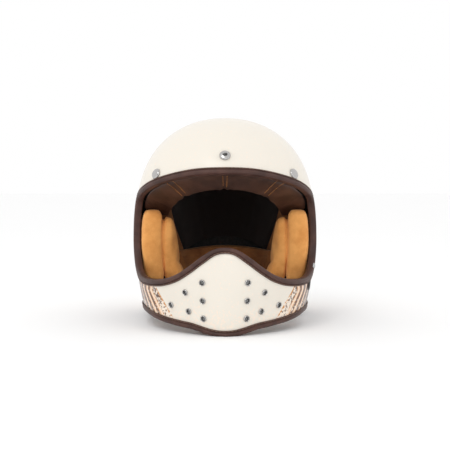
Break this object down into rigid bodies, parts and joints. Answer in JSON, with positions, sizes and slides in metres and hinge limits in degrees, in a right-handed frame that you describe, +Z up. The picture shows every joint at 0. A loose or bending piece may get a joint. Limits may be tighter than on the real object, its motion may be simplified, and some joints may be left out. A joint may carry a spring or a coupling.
{
  "type": "motorcycle helmet",
  "caption": "Retro full-face enduro motorcycle helmet with a chin bar, stitched edge trims, suede cheek pads and a D-ring chin strap.",
  "frame": {"origin": "middle of the bounding box on the plane that the helmet stands on", "axes": "+Z up, the eye port faces -Y, +X to the wearer's left"},
  "size_m": [0.248, 0.3439, 0.2745],
  "materials": {
    "cream_paint": "satin cream paint on fibreglass, with striped bands on the lower sides",
    "brown_trim": "brown leather-look edge channel with a stitch row",
    "brown_leather": "dark brown leather with tan stitches",
    "tan_suede": "tan suede, soft and matt",
    "dark_mesh": "dark open mesh",
    "black_foam": "dark moulded foam",
    "black_plastic": "moulded plastic",
    "chrome": "polished chrome",
    "steel": "plated steel",
    "webbing": "woven dark webbing"
  },
  "bodies": {
    "helmet": {"outer_shell": "cream_paint", "eye_port_trim": "brown_trim", "neck_edge_trim": "brown_trim", "brow_pad": "brown_leather", "cheek_pad_left": "tan_suede", "cheek_pad_right": "tan_suede", "cheek_edge_left": "tan_suede", "cheek_edge_right": "tan_suede", "side_liner_left": "tan_suede", "side_liner_right": "tan_suede", "neck_roll": "tan_suede", "crown_liner": "dark_mesh", "vent_mesh_left": "dark_mesh", "vent_mesh_right": "dark_mesh", "chin_bar_foam": "black_foam", "impact_liner": "black_foam", "cheek_core_left": "black_foam", "cheek_core_right": "black_foam", "cheek_plate_left": "black_plastic", "cheek_plate_right": "black_plastic", "chin_vent_eyelet_1": "chrome", "chin_vent_eyelet_2": "chrome", "chin_vent_eyelet_3": "chrome", "chin_vent_eyelet_4": "chrome", "chin_vent_eyelet_5": "chrome", "chin_vent_eyelet_6": "chrome", "chin_vent_eyelet_7": "chrome", "chin_vent_eyelet_8": "chrome", "chin_vent_eyelet_9": "chrome", "chin_vent_eyelet_10": "chrome", "chin_vent_eyelet_11": "chrome", "chin_vent_eyelet_12": "chrome", "peak_stud_centre": "chrome", "peak_stud_left": "chrome", "peak_stud_right": "chrome", "strap_rivet_left": "steel", "strap_rivet_right": "steel"},
    "chin_strap": {"strap_anchor_left": "steel", "strap_anchor_right": "steel", "strap_short": "webbing", "strap_long": "webbing", "strap_pad_left": "tan_suede", "strap_pad_right": "tan_suede", "strap_end_stud": "chrome"},
    "upper_ring": {"d_ring_upper": "steel"},
    "lower_ring": {"d_ring_lower": "steel"}
  },
  "joints": [
    {"name": "strap_swing", "type": "hinge", "parent": "helmet", "child": "chin_strap", "pos_m": [0, 0.0142, 0.07], "axis": [1, 0, 0], "range_deg": [-20, 30]},
    {"name": "upper_ring_lift", "type": "hinge", "parent": "chin_strap", "child": "upper_ring", "pos_m": [0.0265, 0.0142, 0.0156], "axis": [0, 1, 0], "range_deg": [0, 25]},
    {"name": "lower_ring_lift", "type": "hinge", "parent": "chin_strap", "child": "lower_ring", "pos_m": [0.0265, 0.0142, 0.0111], "axis": [0, 1, 0], "range_deg": [0, 25]}
  ],
  "couplings": [
    {"joint": "lower_ring_lift", "follows": "upper_ring_lift", "ratio": 1}
  ]
}
